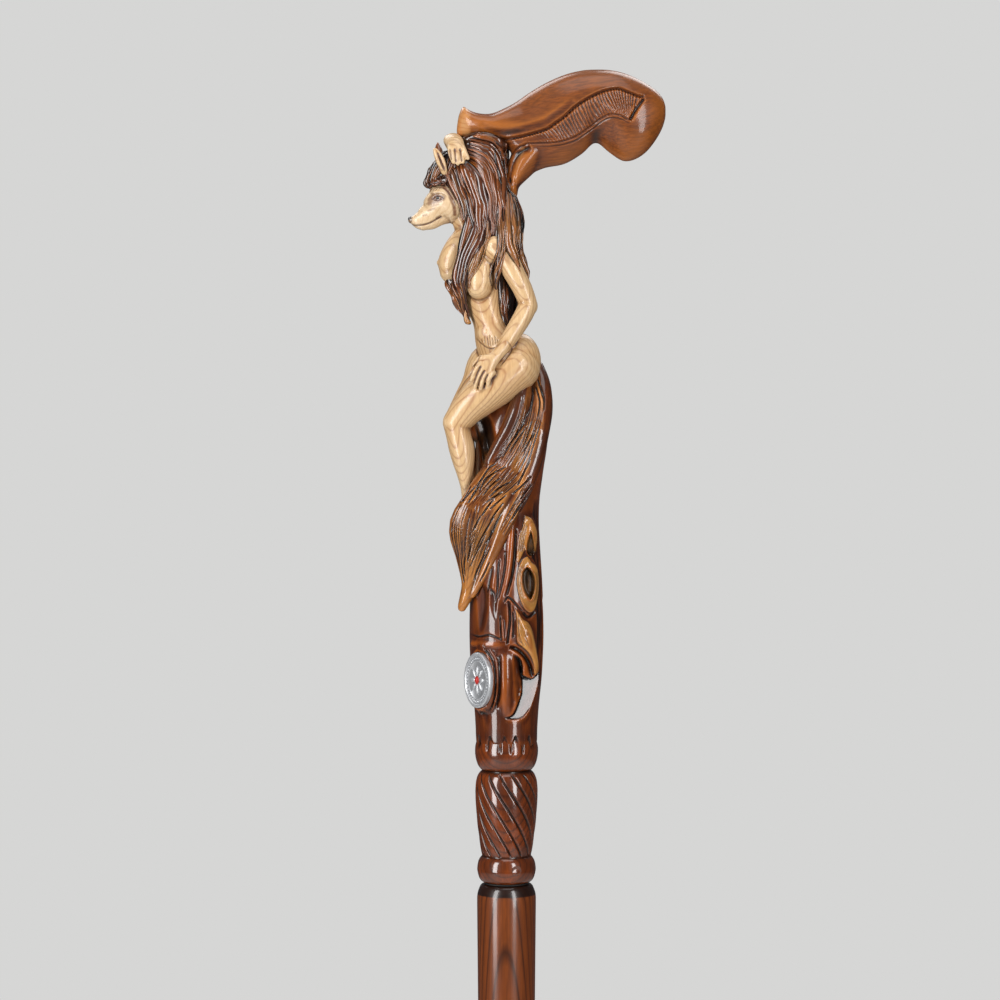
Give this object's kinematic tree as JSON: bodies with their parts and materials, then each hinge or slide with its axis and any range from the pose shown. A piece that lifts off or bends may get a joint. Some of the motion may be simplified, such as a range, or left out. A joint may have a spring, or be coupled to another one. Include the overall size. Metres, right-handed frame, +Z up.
{
  "type": "walking cane",
  "caption": "Carved wooden walking cane with a derby grip above a seated wolf-headed figure on a hollow stump; it screws apart at mid shaft and has a rubber ferrule.",
  "frame": {"origin": "centre of the ferrule's foot, where the cane meets the ground", "axes": "+Z up along the shaft; +X from the grip's nose to its palm end; the figure looks towards -X"},
  "size_m": [0.1261, 0.0679, 0.9198],
  "materials": {
    "carved_ash": "stained and oil-varnished ash, figure left pale, hair, tail and stump dark brown",
    "grip_ash": "stained ash under satin varnish, palm swell polished",
    "shaft_ash": "stained ash under gloss varnish, open grain filled dark",
    "beech_dowel": "bare beech",
    "pewter": "cast pewter, darkened in the recesses",
    "zinc_steel": "zinc-plated steel",
    "brass": "turned brass",
    "black_fibre": "black vulcanised fibre",
    "black_rubber": "matt moulded rubber"
  },
  "bodies": {
    "shaft": {"shaft": "shaft_ash", "threaded_bush": "brass"},
    "ferrule": {"ferrule": "black_rubber", "ferrule_disc": "zinc_steel"},
    "washer": {"joint_washer": "black_fibre"},
    "head": {"carved_block": "carved_ash", "grip": "grip_ash", "grip_dowel_front": "beech_dowel", "grip_dowel_rear": "beech_dowel", "joint_stud": "zinc_steel", "stud_cross_pin": "zinc_steel", "cross_pin_plug": "shaft_ash", "medallion": "pewter"}
  },
  "joints": [
    {"name": "ferrule_pull", "type": "slide", "parent": "shaft", "child": "ferrule", "axis": [0, 0, -1], "range_m": [0, 0.038]},
    {"name": "head_rise", "type": "slide", "parent": "shaft", "child": "washer", "axis": [0, 0, 1], "range_m": [0, 0.015]},
    {"name": "head_turn", "type": "hinge", "parent": "washer", "child": "head", "pos_m": [0, 0, 0.5], "axis": [0, 0, 1], "range_deg": [0, 3600]}
  ],
  "couplings": [
    {"joint": "head_rise", "follows": "head_turn", "m_per_rad": 0.00023873}
  ]
}
